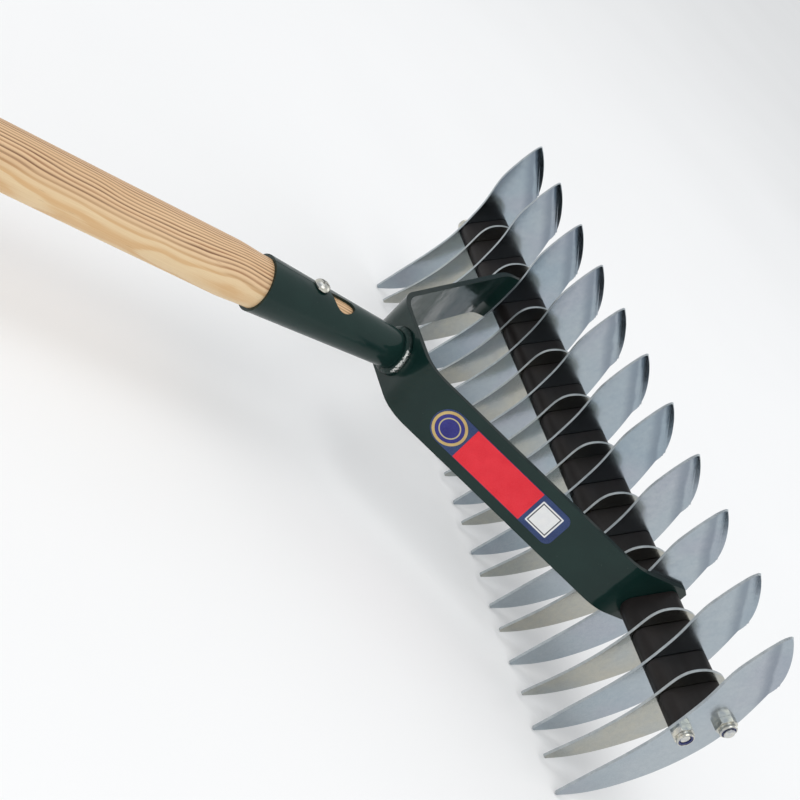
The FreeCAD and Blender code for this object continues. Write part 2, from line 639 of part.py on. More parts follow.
# lay the rake down, then put the origin at the middle of its footprint
m0 = world_matrix(0, 0)
box = None
placed = {}
for name, s in parts.items():
    c = s.copy()
    c.Placement = FreeCAD.Placement(m0).multiply(c.Placement)
    placed[name] = c
    bb = c.optimalBoundingBox() if name.startswith(("handle", "tine", "double", "lock", "tie")) else c.BoundBox
    box = bb if box is None else box.united(bb)
dx = -(box.XMin + box.XMax) / 2
dz = -box.ZMin
dy = -(box.YMin + box.YMax) / 2
print("box before shift", box)
print("shift", dx, dy, dz, "tilt deg", math.degrees(TILT))
for name, c in placed.items():
    c.translate(V(dx, dy, dz))
    ok = c.isValid()
    vols = [round(v.Volume, 2) for v in c.Solids]
    print("%-18s valid=%s solids=%d vol=%s" % (name, ok, len(c.Solids), vols[:4]))
    c.exportStep("parts/%s.step" % name)
print("nodes", len(placed))
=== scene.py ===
import json
import math
import random

import bmesh
import bpy
from mathutils import Matrix, Vector
from mathutils import noise as mnoise


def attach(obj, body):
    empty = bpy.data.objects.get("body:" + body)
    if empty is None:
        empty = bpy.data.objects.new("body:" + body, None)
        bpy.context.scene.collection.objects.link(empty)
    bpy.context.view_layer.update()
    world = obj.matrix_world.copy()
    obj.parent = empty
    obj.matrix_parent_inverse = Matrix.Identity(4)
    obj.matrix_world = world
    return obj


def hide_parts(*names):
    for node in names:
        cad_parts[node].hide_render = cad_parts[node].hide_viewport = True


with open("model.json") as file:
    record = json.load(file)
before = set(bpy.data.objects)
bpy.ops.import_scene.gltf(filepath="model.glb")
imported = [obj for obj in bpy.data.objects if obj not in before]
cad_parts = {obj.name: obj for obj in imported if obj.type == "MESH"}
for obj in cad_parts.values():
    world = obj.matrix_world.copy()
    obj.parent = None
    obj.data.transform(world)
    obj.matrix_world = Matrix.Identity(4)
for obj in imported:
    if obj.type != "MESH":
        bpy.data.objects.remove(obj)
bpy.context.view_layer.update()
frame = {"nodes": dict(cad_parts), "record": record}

random.seed(7)

# ------------------------------------------------------------------ head frame
# a: in the blade plane, towards the long tine points; Y: along the head;
# b: along the handle axis, towards the grip. All from the record's handle mount.
shaft = frame["record"]["mounts"][0]
B_AX = Vector(shaft["axis"]).normalized()
Y_AX = Vector((0, 1, 0))
A_AX = Y_AX.cross(B_AX).normalized()
HALF = shaft["dims"]["length_mm"] / 2000.0
R_GRIP = shaft["dims"]["r_mm"]
STRETCH_B0 = 250.0                       # where the stated stretch of the handle starts
O = Vector(shaft["pos_m"]) - B_AX * (STRETCH_B0 / 1000.0 + HALF)
HANDLE_B1 = STRETCH_B0 + 2000.0 * HALF + 9.5


def W(a, y, b):
    return O + A_AX * (a / 1000) + Y_AX * (y / 1000) + B_AX * (b / 1000)


# ------------------------------------------------------------------ node helpers
class NT:
    def __init__(self, tree):
        self.t = tree
        self.n = tree.nodes
        self.x = 0

    def new(self, kind, **kw):
        nd = self.n.new(kind)
        self.x += 40
        nd.location = (self.x, 0)
        for k, v in kw.items():
            setattr(nd, k, v)
        return nd

    def link(self, a, b):
        self.t.links.new(a, b)

    def put(self, sock, v):
        if isinstance(v, bpy.types.NodeSocket):
            self.link(v, sock)
        elif v is not None:
            sock.default_value = v

    def math(self, op, a, b=None, c=None, clamp=False):
        nd = self.new("ShaderNodeMath", operation=op)
        nd.use_clamp = clamp
        self.put(nd.inputs[0], a)
        self.put(nd.inputs[1], b)
        if c is not None:
            self.put(nd.inputs[2], c)
        return nd.outputs[0]

    def vmath(self, op, a, b=None, scale=None):
        nd = self.new("ShaderNodeVectorMath", operation=op)
        self.put(nd.inputs[0], a)
        if b is not None:
            self.put(nd.inputs[1], b)
        if scale is not None:
            self.put(nd.inputs["Scale"], scale)
        return nd.outputs["Value"] if op in ("DOT_PRODUCT", "LENGTH", "DISTANCE") else nd.outputs["Vector"]

    def comb(self, x, y, z):
        nd = self.new("ShaderNodeCombineXYZ")
        for i, v in enumerate((x, y, z)):
            self.put(nd.inputs[i], v)
        return nd.outputs[0]

    def sep(self, v):
        nd = self.new("ShaderNodeSeparateXYZ")
        self.put(nd.inputs[0], v)
        return nd.outputs

    def noise(self, vec, scale=1.0, detail=2.0, rough=0.5, dist=0.0, dims="3D", w=None, lac=2.0):
        nd = self.new("ShaderNodeTexNoise", noise_dimensions=dims)
        if vec is not None:
            self.put(nd.inputs["Vector"], vec)
        if w is not None:
            self.put(nd.inputs["W"], w)
        nd.inputs["Scale"].default_value = scale
        nd.inputs["Detail"].default_value = detail
        nd.inputs["Roughness"].default_value = rough
        nd.inputs["Lacunarity"].default_value = lac
        nd.inputs["Distortion"].default_value = dist
        return nd.outputs["Fac"]

    def white(self, vec=None, w=None, dims="1D"):
        nd = self.new("ShaderNodeTexWhiteNoise", noise_dimensions=dims)
        if vec is not None:
            self.put(nd.inputs["Vector"], vec)
        if w is not None:
            self.put(nd.inputs["W"], w)
        return nd.outputs["Value"]

    def voronoi(self, vec, scale, feature="F1", rand=1.0):
        nd = self.new("ShaderNodeTexVoronoi", feature=feature)
        self.put(nd.inputs["Vector"], vec)
        nd.inputs["Scale"].default_value = scale
        nd.inputs["Randomness"].default_value = rand
        return nd

    def ramp(self, fac, stops, mode="LINEAR"):
        nd = self.new("ShaderNodeValToRGB")
        self.put(nd.inputs[0], fac)
        cr = nd.color_ramp
        cr.interpolation = mode
        while len(cr.elements) < len(stops):
            cr.elements.new(0.5)
        for e, (p, c) in zip(cr.elements, stops):
            e.position = p
            e.color = c if len(c) == 4 else (*c, 1.0)
        return nd.outputs[0]

    def maprange(self, v, a, b, c, d, smooth=False, clamp=True):
        nd = self.new("ShaderNodeMapRange", interpolation_type="SMOOTHSTEP" if smooth else "LINEAR")
        nd.clamp = clamp
        self.put(nd.inputs[0], v)
        for i, q in enumerate((a, b, c, d)):
            nd.inputs[i + 1].default_value = q
        return nd.outputs[0]

    def mix(self, fac, a, b, blend="MIX"):
        nd = self.new("ShaderNodeMix", data_type="RGBA", blend_type=blend)
        self.put(nd.inputs[0], fac)
        self.put(nd.inputs[6], a if isinstance(a, bpy.types.NodeSocket) else (*a, 1.0)[:4])
        self.put(nd.inputs[7], b if isinstance(b, bpy.types.NodeSocket) else (*b, 1.0)[:4])
        return nd.outputs[2]

    def bump(self, height, strength=0.3, dist=0.0002, normal=None):
        nd = self.new("ShaderNodeBump")
        self.put(nd.inputs["Height"], height)
        nd.inputs["Strength"].default_value = strength
        nd.inputs["Distance"].default_value = dist
        if normal is not None:
            self.link(normal, nd.inputs["Normal"])
        return nd.outputs[0]


def srgb(r, g, b):
    def f(c):
        c /= 255.0
        return c / 12.92 if c <= 0.04045 else ((c + 0.055) / 1.055) ** 2.4
    return (f(r), f(g), f(b))


def material(name):
    m = bpy.data.materials.new(name)
    m.use_nodes = True
    m.node_tree.nodes.clear()
    k = NT(m.node_tree)
    out = k.new("ShaderNodeOutputMaterial")
    bs = k.new("ShaderNodeBsdfPrincipled")
    k.link(bs.outputs[0], out.inputs[0])
    return m, k, bs


def local_mm(k):
    """Object position as (a, Y, b) in millimetres, from the position in the part's own frame."""
    tc = k.new("ShaderNodeTexCoord")
    p = k.vmath("SUBTRACT", tc.outputs["Object"], tuple(O))
    q = [k.math("MULTIPLY", k.vmath("DOT_PRODUCT", p, tuple(ax)), 1000.0) for ax in (A_AX, Y_AX, B_AX)]
    return q, k.comb(*q)


def local_normal(k):
    g = k.new("ShaderNodeNewGeometry")
    t = k.new("ShaderNodeVectorTransform", vector_type="NORMAL", convert_from="WORLD", convert_to="OBJECT")
    k.link(g.outputs["True Normal"], t.inputs[0])
    n = t.outputs[0]
    return [k.vmath("DOT_PRODUCT", n, tuple(ax)) for ax in (A_AX, Y_AX, B_AX)]


# the bend of the wide blades: its lower end, and the direction outwards across it
FOLD_L, FOLD_C = (-32.0, -12.1), (-61.6, 14.9)
_fl = math.hypot(FOLD_C[0] - FOLD_L[0], FOLD_C[1] - FOLD_L[1])
FOLD_N = (-(FOLD_C[1] - FOLD_L[1]) / _fl, (FOLD_C[0] - FOLD_L[0]) / _fl)


def centred_noise(k, vec, scale, amount):
    return k.math("MULTIPLY", k.math("SUBTRACT", k.noise(vec, scale, 2.0, 0.5), 0.5), amount)


# ------------------------------------------------------------------ materials
def mat_pine():
    m, k, bs = material("pine")
    (a, y, b), v = local_mm(k)

    def field(sa, sb, detail, rough, off=0.0):
        return k.noise(k.comb(k.math("ADD", k.math("MULTIPLY", a, sa), off), k.math("MULTIPLY", y, sa), k.math("MULTIPLY", b, sb)), 1.0, detail, rough)

    def centred(f, amount):
        return k.math("MULTIPLY", k.math("SUBTRACT", f, 0.5), amount)

    # growth rings about a pith outside the stick; the grain wanders slowly along the length
    ph = math.radians(247.0)
    px, py = 46.0 * math.cos(ph), 46.0 * math.sin(ph)
    r = k.vmath("LENGTH", k.comb(k.math("SUBTRACT", a, px), k.math("SUBTRACT", y, py), 0.0))
    r = k.math("ADD", r, k.math("MULTIPLY", b, 0.0022))
    r = k.math("ADD", r, centred(field(0.010, 0.0052, 1.0, 0.4), 9.0))
    r = k.math("ADD", r, centred(field(0.035, 0.0150, 1.0, 0.4, 7.0), 5.4))
    r = k.math("ADD", r, centred(field(0.060, 0.0330, 1.0, 0.4, 23.0), 2.0))
    r = k.math("ADD", r, centred(field(0.55, 0.030, 2.0, 0.5, 3.0), 0.34))
    q = k.math("DIVIDE", r, 1.62)
    ring = k.math("FLOOR", q)
    fr = k.math("FRACT", q)
    rnd = k.white(w=ring)
    rnd2 = k.white(w=k.math("ADD", ring, 71.0))
    # early wood to late wood: slow rise, sharp fall
    late = k.ramp(fr, [(0.0, (0.30,) * 3), (0.06, (0.0,) * 3), (0.30, (0.04,) * 3), (0.52, (0.34,) * 3), (0.72, (1.0,) * 3), (0.93, (1.0,) * 3), (1.0, (0.32,) * 3)])
    late = k.math("MULTIPLY", late, k.maprange(rnd, 0, 1, 0.62, 1.0))
    brk = field(0.9, 0.010, 2.0, 0.5, 11.0)
    late = k.math("MULTIPLY", late, k.maprange(brk, 0.25, 0.6, 0.6, 1.05), clamp=True)
    # the rings lie flat on one flank of the stick, where the lines turn wide, soft and golden
    flat = k.math("DIVIDE", k.math("ADD", k.math("MULTIPLY", a, -math.cos(ph)), k.math("MULTIPLY", y, -math.sin(ph))), R_GRIP)
    soft = k.maprange(flat, 0.50, 0.90, 0.0, 1.0, smooth=True)
    late = k.math("MULTIPLY", late, k.maprange(soft, 0.0, 1.0, 1.0, 0.8))
    fib = field(4.2, 0.055, 4.0, 0.65, 5.0)
    tone = field(0.05, 0.006, 2.0, 0.5, 17.0)
    pale = k.mix(k.maprange(tone, 0.3, 0.7, 0, 1), srgb(233, 200, 160), srgb(220, 184, 142))
    pale = k.mix(soft, pale, srgb(236, 210, 168))
    band = k.mix(k.maprange(rnd2, 0, 1, 0, 1), srgb(92, 52, 26), srgb(138, 84, 46))
    band = k.mix(soft, band, srgb(214, 166, 108))
    col = k.mix(k.math("MULTIPLY", late, 0.97), pale, band)
    col = k.mix(k.maprange(fib, 0.35, 0.75, 0.0, 0.26), col, srgb(196, 150, 104))
    # short resin ducts
    fl = k.voronoi(k.comb(k.math("MULTIPLY", a, 1.3), k.math("MULTIPLY", y, 1.3), k.math("MULTIPLY", b, 0.07)), 0.55)
    fleck = k.math("LESS_THAN", fl.outputs["Distance"], 0.07)
    col = k.mix(k.math("MULTIPLY", fleck, 0.30), col, srgb(138, 90, 48))
    # end grain and the handled end are a little darker
    endg = k.maprange(b, HANDLE_B1 - 1.2, HANDLE_B1 + 0.2, 0.0, 0.45, smooth=True)
    col = k.mix(endg, col, srgb(186, 138, 92))
    k.put(bs.inputs["Base Color"], col)
    k.put(bs.inputs["Roughness"], k.maprange(fib, 0.2, 0.8, 0.44, 0.62))
    bs.inputs["Specular IOR Level"].default_value = 0.35
    bs.inputs["Coat Weight"].default_value = 0.08
    bs.inputs["Coat Roughness"].default_value = 0.35
    h = k.math("ADD", k.math("MULTIPLY", late, 0.6), k.math("MULTIPLY", fib, 0.5))
    k.link(k.bump(h, 0.35, 0.00012), bs.inputs["Normal"])
    return m


def mat_paint(name="green_gloss_paint", bare=False):
    m, k, bs = material(name)
    (a, y, b), v = local_mm(k)
    big = k.noise(v, 0.045, 2.0, 0.5)
    peel = k.noise(v, 0.30, 2.0, 0.5)
    grit = k.noise(v, 3.2, 3.0, 0.6)
    dust = k.voronoi(v, 0.55)
    speck = k.math("MULTIPLY", k.math("LESS_THAN", dust.outputs["Distance"], 0.08), k.math("GREATER_THAN", k.noise(v, 0.19, 2.0, 0.5), 0.60))
    col = k.mix(k.maprange(big, 0.3, 0.7, 0, 1), srgb(15, 39, 36), srgb(21, 46, 42))
    col = k.mix(k.maprange(grit, 0.55, 0.8, 0.0, 0.20), col, srgb(38, 62, 57))
    col = k.mix(k.math("MULTIPLY", speck, 0.30), col, srgb(104, 122, 118))
    if bare:
        # a ragged streak of weld metal that the paint did not wet
        th = k.math("ARCTAN2", y, a)
        n1 = k.noise(v, 0.9, 3.0, 0.7)
        near = k.maprange(k.math("ABSOLUTE", k.math("SUBTRACT", th, 1.72)), 0.30, 0.75, 1.0, 0.0)
        rr = k.vmath("LENGTH", k.comb(a, y, 0.0))
        toe = k.maprange(k.math("ABSOLUTE", k.math("SUBTRACT", rr, 12.6)), 0.25, 0.95, 1.0, 0.0)
        bm = k.maprange(k.math("MULTIPLY", k.math("MULTIPLY", near, toe), k.maprange(n1, 0.40, 0.55, 0.0, 1.4)), 0.35, 0.6, 0.0, 1.0)
        col = k.mix(bm, col, srgb(206, 208, 204))
        k.put(bs.inputs["Metallic"], bm)
    # painted shade: the sheared long edges of the bar, whose faces point up and down, are darkened to near black and
    # given less coat
    nn = local_normal(k)
    rim = k.math("MULTIPLY", k.maprange(k.math("ABSOLUTE", nn[0]), 0.45, 0.85, 0.0, 1.0), k.maprange(b, 141.0, 143.0, 1.0, 0.0))
    col = k.mix(k.math("MULTIPLY", rim, 0.75), col, srgb(8, 22, 21))
    k.put(bs.inputs["Base Color"], col)
    k.put(bs.inputs["Roughness"], k.maprange(big, 0.3, 0.7, 0.30, 0.42))
    bs.inputs["Specular IOR Level"].default_value = 0.06
    k.put(bs.inputs["Coat Weight"], k.maprange(rim, 0.0, 1.0, 0.46, 0.12))
    k.put(bs.inputs["Coat Roughness"], k.maprange(grit, 0.3, 0.8, 0.02, 0.07))
    bs.inputs["Coat IOR"].default_value = 1.50
    h = k.math("ADD", k.math("MULTIPLY", peel, 0.75), k.math("MULTIPLY", k.noise(v, 0.11, 2.0, 0.5), 2.4))
    h = k.math("ADD", h, k.math("MULTIPLY", grit, 0.05))
    n = k.bump(h, 0.42 if not bare else 1.0, 0.00014 if not bare else 0.0003)
    k.link(n, bs.inputs["Normal"])
    k.link(n, bs.inputs["Coat Normal"])
    return m


def mat_blade(name, warm):
    """Zinc-plated sheet: soft cloudy plating with a faint passivation tint, rolling lines, bright sheared edges."""
    m, k, bs = material(name)
    (a, y, b), v = local_mm(k)
    info = k.new("ShaderNodeObjectInfo")
    off = k.math("MULTIPLY", info.outputs["Random"], 300.0)
    vo = k.vmath("ADD", v, k.comb(off, 0.0, off))
    cloud = k.noise(vo, 0.045, 3.0, 0.55)
    tint = k.noise(vo, 0.030, 2.0, 0.5)
    mott = k.noise(vo, 0.30, 3.0, 0.6)
    spangle = k.noise(vo, 1.1, 3.0, 0.6)
    roll = k.noise(k.comb(k.math("MULTIPLY", k.math("ADD", a, off), 0.05), 0.0, k.math("MULTIPLY", b, 2.6)), 1.0, 3.0, 0.6)
    u = k.math("ADD", k.math("MULTIPLY", a, 0.8), k.math("MULTIPLY", b, 0.6))
    w = k.math("SUBTRACT", k.math("MULTIPLY", b, 0.8), k.math("MULTIPLY", a, 0.6))
    scr = k.noise(k.comb(k.math("MULTIPLY", u, 0.055), off, k.math("MULTIPLY", w, 2.4)), 1.0, 1.0, 0.5)
    scratch = k.maprange(scr, 0.77, 0.81, 0.0, 1.0)
    nn = local_normal(k)
    edge = k.maprange(k.math("ABSOLUTE", nn[1]), 0.35, 0.75, 1.0, 0.0)
    tint_v = k.math("ADD", k.math("MULTIPLY", info.outputs["Random"], 0.45), k.math("MULTIPLY", cloud, 0.55))
    if warm:
        c0, c1, c2 = srgb(164, 168, 163), srgb(179, 176, 164), srgb(160, 169, 174)
    else:
        c0, c1, c2 = srgb(146, 162, 173), srgb(173, 181, 186), srgb(166, 169, 179)
    col = k.mix(k.maprange(tint_v, 0.2, 0.75, 0, 1), c0, c1)
    col = k.mix(k.maprange(tint, 0.48, 0.68, 0.0, 0.6), col, c2)
    col = k.mix(k.maprange(mott, 0.35, 0.75, 0.0, 0.22), col, srgb(130, 144, 158))
    col = k.mix(k.maprange(spangle, 0.45, 0.75, 0.0, 0.10), col, srgb(232, 236, 238))
    col = k.mix(k.math("MULTIPLY", scratch, 0.18), col, srgb(236, 240, 242))
    if not warm:
        # painted dark reflection: a darker band just inside the bend of the cutting edge
        d = k.math("ADD", k.math("MULTIPLY", k.math("SUBTRACT", a, FOLD_L[0]), FOLD_N[0]), k.math("MULTIPLY", k.math("SUBTRACT", b, FOLD_L[1]), FOLD_N[1]))
        din = k.math("ADD", d, centred_noise(k, vo, 0.10, 2.6))
        dark_reflection_band = k.math("MULTIPLY", k.maprange(din, -7.5, -1.0, 0.0, 1.0, smooth=True), k.maprange(din, -0.6, 1.4, 1.0, 0.0, smooth=True))
        col = k.mix(k.math("MULTIPLY", dark_reflection_band, 0.55), col, srgb(104, 116, 130))
        # painted reflection: a cool blue-grey tint on the bent lens beyond the bend
        lens = k.maprange(din, -0.4, 1.6, 0.0, 1.0, smooth=True)
        col = k.mix(k.math("MULTIPLY", lens, 0.22), col, srgb(140, 156, 172))
    # sheared edges are matt and catch light from all round
    col = k.mix(k.math("MULTIPLY", edge, 0.85), col, k.mix(k.maprange(mott, 0.3, 0.7, 0, 1), srgb(176, 183, 186), srgb(150, 158, 163)))
    k.put(bs.inputs["Base Color"], col)
    k.put(bs.inputs["Metallic"], k.maprange(edge, 0.0, 1.0, 1.0, 0.25))
    rough = k.math("ADD", k.maprange(cloud, 0.25, 0.75, 0.15, 0.22), k.maprange(mott, 0.3, 0.8, -0.01, 0.05, clamp=True))
    rough = k.math("ADD", rough, k.math("MULTIPLY", edge, 0.10))
    k.put(bs.inputs["Roughness"], rough)
    h = k.math("ADD", k.math("MULTIPLY", k.noise(vo, 0.06, 2.0, 0.5), 4.0), k.math("MULTIPLY", roll, 0.035))
    h = k.math("ADD", h, k.math("MULTIPLY", mott, 0.10))
    h = k.math("SUBTRACT", h, k.math("MULTIPLY", scratch, 0.03))
    k.link(k.bump(h, 0.25, 0.00016), bs.inputs["Normal"])
    return m


def mat_zinc(name, base=(170, 172, 171), r0=0.16, r1=0.30):
    m, k, bs = material(name)
    (a, y, b), v = local_mm(k)
    cloud = k.noise(v, 0.35, 3.0, 0.55)
    mott = k.noise(v, 1.8, 3.0, 0.6)
    col = k.mix(k.maprange(cloud, 0.35, 0.7, 0, 1), srgb(*base), srgb(224, 220, 204))
    col = k.mix(k.maprange(mott, 0.5, 0.8, 0.0, 0.35), col, srgb(150, 156, 164))
    k.put(bs.inputs["Base Color"], col)
    bs.inputs["Metallic"].default_value = 1.0
    k.put(bs.inputs["Roughness"], k.maprange(mott, 0.3, 0.8, r0, r1))
    k.link(k.bump(k.math("ADD", cloud, k.math("MULTIPLY", mott, 0.4)), 0.25, 0.00008), bs.inputs["Normal"])
    return m


def mat_plastic():
    m, k, bs = material("black_moulded_plastic")
    (a, y, b), v = local_mm(k)
    info = k.new("ShaderNodeObjectInfo")
    off = k.math("MULTIPLY", info.outputs["Random"], 100.0)
    vo = k.vmath("ADD", v, k.comb(off, off, 0.0))
    cloud = k.noise(vo, 0.09, 3.0, 0.55)
    tex = k.noise(vo, 3.4, 3.0, 0.65)
    flow = k.noise(k.comb(k.math("MULTIPLY", a, 0.5), k.math("MULTIPLY", y, 0.06), k.math("MULTIPLY", b, 0.5)), 1.0, 3.0, 0.5)
    col = k.mix(k.maprange(cloud, 0.3, 0.7, 0, 1), srgb(21, 18, 18), srgb(31, 27, 26))
    col = k.mix(k.maprange(tex, 0.6, 0.8, 0.0, 0.30), col, srgb(58, 53, 51))
    k.put(bs.inputs["Base Color"], col)
    rr = k.math("ADD", k.maprange(flow, 0.3, 0.7, 0.40, 0.52), k.maprange(tex, 0.3, 0.8, 0.0, 0.06))
    k.put(bs.inputs["Roughness"], rr)
    bs.inputs["Specular IOR Level"].default_value = 0.26
    k.link(k.bump(k.math("ADD", k.math("MULTIPLY", flow, 1.2), k.math("MULTIPLY", tex, 0.25)), 0.3, 0.0001), bs.inputs["Normal"])
    return m


def mat_nylon():
    m, k, bs = material("blue_nylon")
    (a, y, b), v = local_mm(k)
    n1 = k.noise(v, 1.6, 3.0, 0.6)
    k.put(bs.inputs["Base Color"], k.mix(k.maprange(n1, 0.3, 0.7, 0, 1), srgb(34, 42, 92), srgb(52, 62, 118)))
    k.put(bs.inputs["Roughness"], k.maprange(n1, 0.3, 0.7, 0.30, 0.42))
    k.link(k.bump(n1, 0.2, 0.0001), bs.inputs["Normal"])
    return m


# the sticker's own directions on the bracket's near leg
EAR_Y, EAR_TOP, BR_Y, BR_B = 115.35, 24.5, 27.8, 137.5
LD = math.hypot(EAR_Y - BR_Y, BR_B - EAR_TOP)
LT = ((EAR_Y - BR_Y) / LD, (EAR_TOP - BR_B) / LD)
LEG_O = (37.2, BR_B + (37.2 - BR_Y) * LT[1] / LT[0])


def leg_coords(k):
    (a, y, b), v = local_mm(k)
    s = k.math("ADD", k.math("MULTIPLY", k.math("SUBTRACT", y, LEG_O[0]), LT[0]),
               k.math("MULTIPLY", k.math("SUBTRACT", b, LEG_O[1]), LT[1]))
    return a, s, v


def mat_vinyl(name, base, alt, mark=None):
    m, k, bs = material(name)
    a, s, v = leg_coords(k)
    n1 = k.noise(v, 0.16, 2.0, 0.5)
    n2 = k.noise(v, 2.6, 3.0, 0.6)
    col = k.mix(k.maprange(n1, 0.3, 0.7, 0, 1), srgb(*base), srgb(*alt))
    col = k.mix(k.maprange(n2, 0.55, 0.85, 0.0, 0.12), col, srgb(*[min(255, c + 34) for c in base]))
    if mark:
        col = mark(k, a, s, col)
    k.put(bs.inputs["Base Color"], col)
    k.put(bs.inputs["Roughness"], k.maprange(n2, 0.3, 0.8, 0.24, 0.34))
    bs.inputs["Specular IOR Level"].default_value = 0.22
    bs.inputs["Coat Weight"].default_value = 0.18
    bs.inputs["Coat Roughness"].default_value = 0.15
    k.link(k.bump(k.math("ADD", k.math("MULTIPLY", n1, 1.5), k.math("MULTIPLY", n2, 0.1)), 0.15, 0.00012), bs.inputs["Normal"])
    return m


def box_mask(k, a, s, a0, a1, s0, s1, soft=0.12):
    ca, ha = (a0 + a1) / 2, (a1 - a0) / 2
    cs, hs = (s0 + s1) / 2, (s1 - s0) / 2
    da = k.math("SUBTRACT", k.math("ABSOLUTE", k.math("SUBTRACT", a, ca)), ha)
    ds = k.math("SUBTRACT", k.math("ABSOLUTE", k.math("SUBTRACT", s, cs)), hs)
    return k.maprange(k.math("MAXIMUM", da, ds), -soft, soft, 1.0, 0.0)


def mark_patch(k, a, s, col):
    """A plain thin frame on the white patch."""
    m1 = box_mask(k, a, s, -6.3, 6.3, 71.2, 83.4)
    m2 = box_mask(k, a, s, -5.7, 5.7, 71.8, 82.8)
    ring = k.math("SUBTRACT", m1, m2, clamp=True)
    return k.mix(ring, col, srgb(58, 62, 70))


def mark_disc(k, a, s, col):
    r = k.vmath("LENGTH", k.comb(a, k.math("SUBTRACT", s, 12.6), 0.0))
    ring = k.math("MULTIPLY", k.maprange(k.math("ABSOLUTE", k.math("SUBTRACT", r, 5.4)), 0.22, 0.42, 1.0, 0.0), 0.8)
    return k.mix(ring, col, srgb(214, 200, 140))


PINE, PAINT = mat_pine(), mat_paint()
BLADE, TINE = mat_blade("zinc_sheet_cool", False), mat_blade("zinc_sheet_warm", True)
ZINC, ZROD = mat_zinc("bright_zinc"), mat_zinc("bright_zinc_rod", (186, 190, 196), 0.20, 0.34)
PLASTIC, NYLON = mat_plastic(), mat_nylon()
NAVY = mat_vinyl("navy_vinyl", (44, 60, 104), (52, 72, 116))
RED = mat_vinyl("red_vinyl", (226, 36, 52), (234, 46, 60))
WHITE = mat_vinyl("white_vinyl", (238, 238, 236), (230, 231, 232), mark_patch)
GOLD = mat_vinyl("gold_print", (186, 156, 98), (206, 180, 120))
BLUE = mat_vinyl("blue_print", (44, 42, 118), (54, 54, 132), mark_disc)

USE = {"handle": PINE, "handle_socket": PAINT, "socket_weld": PAINT, "bracket": PAINT, "handle_screw": ZINC,
       "tie_rod_front": ZROD, "tie_rod_rear": ZROD, "lock_nuts": ZINC, "nylon_rings": NYLON,
       "label_sheet": NAVY, "label_panel": RED, "label_patch": WHITE, "badge_ring": GOLD, "badge_disc": BLUE}


def soften(o, width, seg=2, angle=50, dissolve=True):
    """Welds split corners, merges coplanar triangles and rounds the sharp edges; the CAD mesh itself stays as it is."""
    w = o.modifiers.new("weld", "WELD")
    w.merge_threshold = 2e-6
    if dissolve:
        d = o.modifiers.new("flat", "DECIMATE")
        d.decimate_type = "DISSOLVE"
        d.angle_limit = math.radians(0.4)
    bv = o.modifiers.new("edge", "BEVEL")
    bv.width = width / 1000
    bv.segments = seg
    bv.limit_method = "ANGLE"
    bv.angle_limit = math.radians(angle)
    bv.harden_normals = False
    bv.use_clamp_overlap = True
    bv.miter_outer = "MITER_ARC"
    wn = o.modifiers.new("normals", "WEIGHTED_NORMAL")
    wn.keep_sharp = True
    wn.weight = 60


for name, o in frame["nodes"].items():
    if name.startswith("double_blade"):
        mt = BLADE
    elif name.startswith("tine_blade"):
        mt = TINE
    elif name.startswith("spacer"):
        mt = PLASTIC
    else:
        mt = USE[name]
    o.data.materials.clear()
    o.data.materials.append(mt)
    for p in o.data.polygons:
        p.use_smooth = True
    if name.startswith(("double_blade", "tine_blade")):
        soften(o, 0.16, 1, 50, dissolve=False)
    elif name.startswith("spacer"):
        soften(o, 0.6, 2, 50)
    elif name == "bracket":
        soften(o, 0.7, 3, 60)
    elif name == "handle_socket":
        soften(o, 0.35, 2, 50, dissolve=False)
    elif name == "lock_nuts":
        soften(o, 0.12, 2, 35, dissolve=False)


def mesh_object(name, verts, faces, mat, smooth=True):
    me = bpy.data.meshes.new(name)
    me.from_pydata([tuple(v) for v in verts], [], faces)
    bm = bmesh.new()
    bm.from_mesh(me)
    bmesh.ops.recalc_face_normals(bm, faces=bm.faces)
    bm.to_mesh(me)
    bm.free()
    me.update()
    o = bpy.data.objects.new(name, me)
    bpy.context.scene.collection.objects.link(o)
    me.materials.append(mat)
    for p in me.polygons:
        p.use_smooth = smooth
    return o


def lathe(name, rows, seg, mat, radial=None):
    """rows: (radius, b); a closed turned body about the handle axis with poles at both ends."""
    verts, faces = [W(0, 0, rows[0][1])], []
    for i, (r, b) in enumerate(rows):
        for j in range(seg):
            th = 2 * math.pi * j / seg
            rr = r + (radial(th, b) if radial else 0.0)
            verts.append(W(rr * math.cos(th), rr * math.sin(th), b))
    verts.append(W(0, 0, rows[-1][1]))
    last = len(verts) - 1
    for j in range(seg):
        faces.append((0, 1 + (j + 1) % seg, 1 + j))
    for i in range(len(rows) - 1):
        b0, b1 = 1 + i * seg, 1 + (i + 1) * seg
        for j in range(seg):
            j2 = (j + 1) % seg
            faces.append((b0 + j, b0 + j2, b1 + j2, b1 + j))
    b0 = 1 + (len(rows) - 1) * seg
    for j in range(seg):
        faces.append((last, b0 + j, b0 + (j + 1) % seg))
    return mesh_object(name, verts, faces, mat)


# the turned handle: tapered seat in the socket, shoulder, long stick and domed grip end
SOCK_R0, SOCK_R1, SOCK_T = 10.2, 14.6, 1.6
BR_TOP, SOCK_TOP = 137.5, 226.5


def cone_r(b):
    return SOCK_R0 + (SOCK_R1 - SOCK_R0) * (b - BR_TOP) / (SOCK_TOP - BR_TOP)


def hermite(t):
    return t * t * (3 - 2 * t)


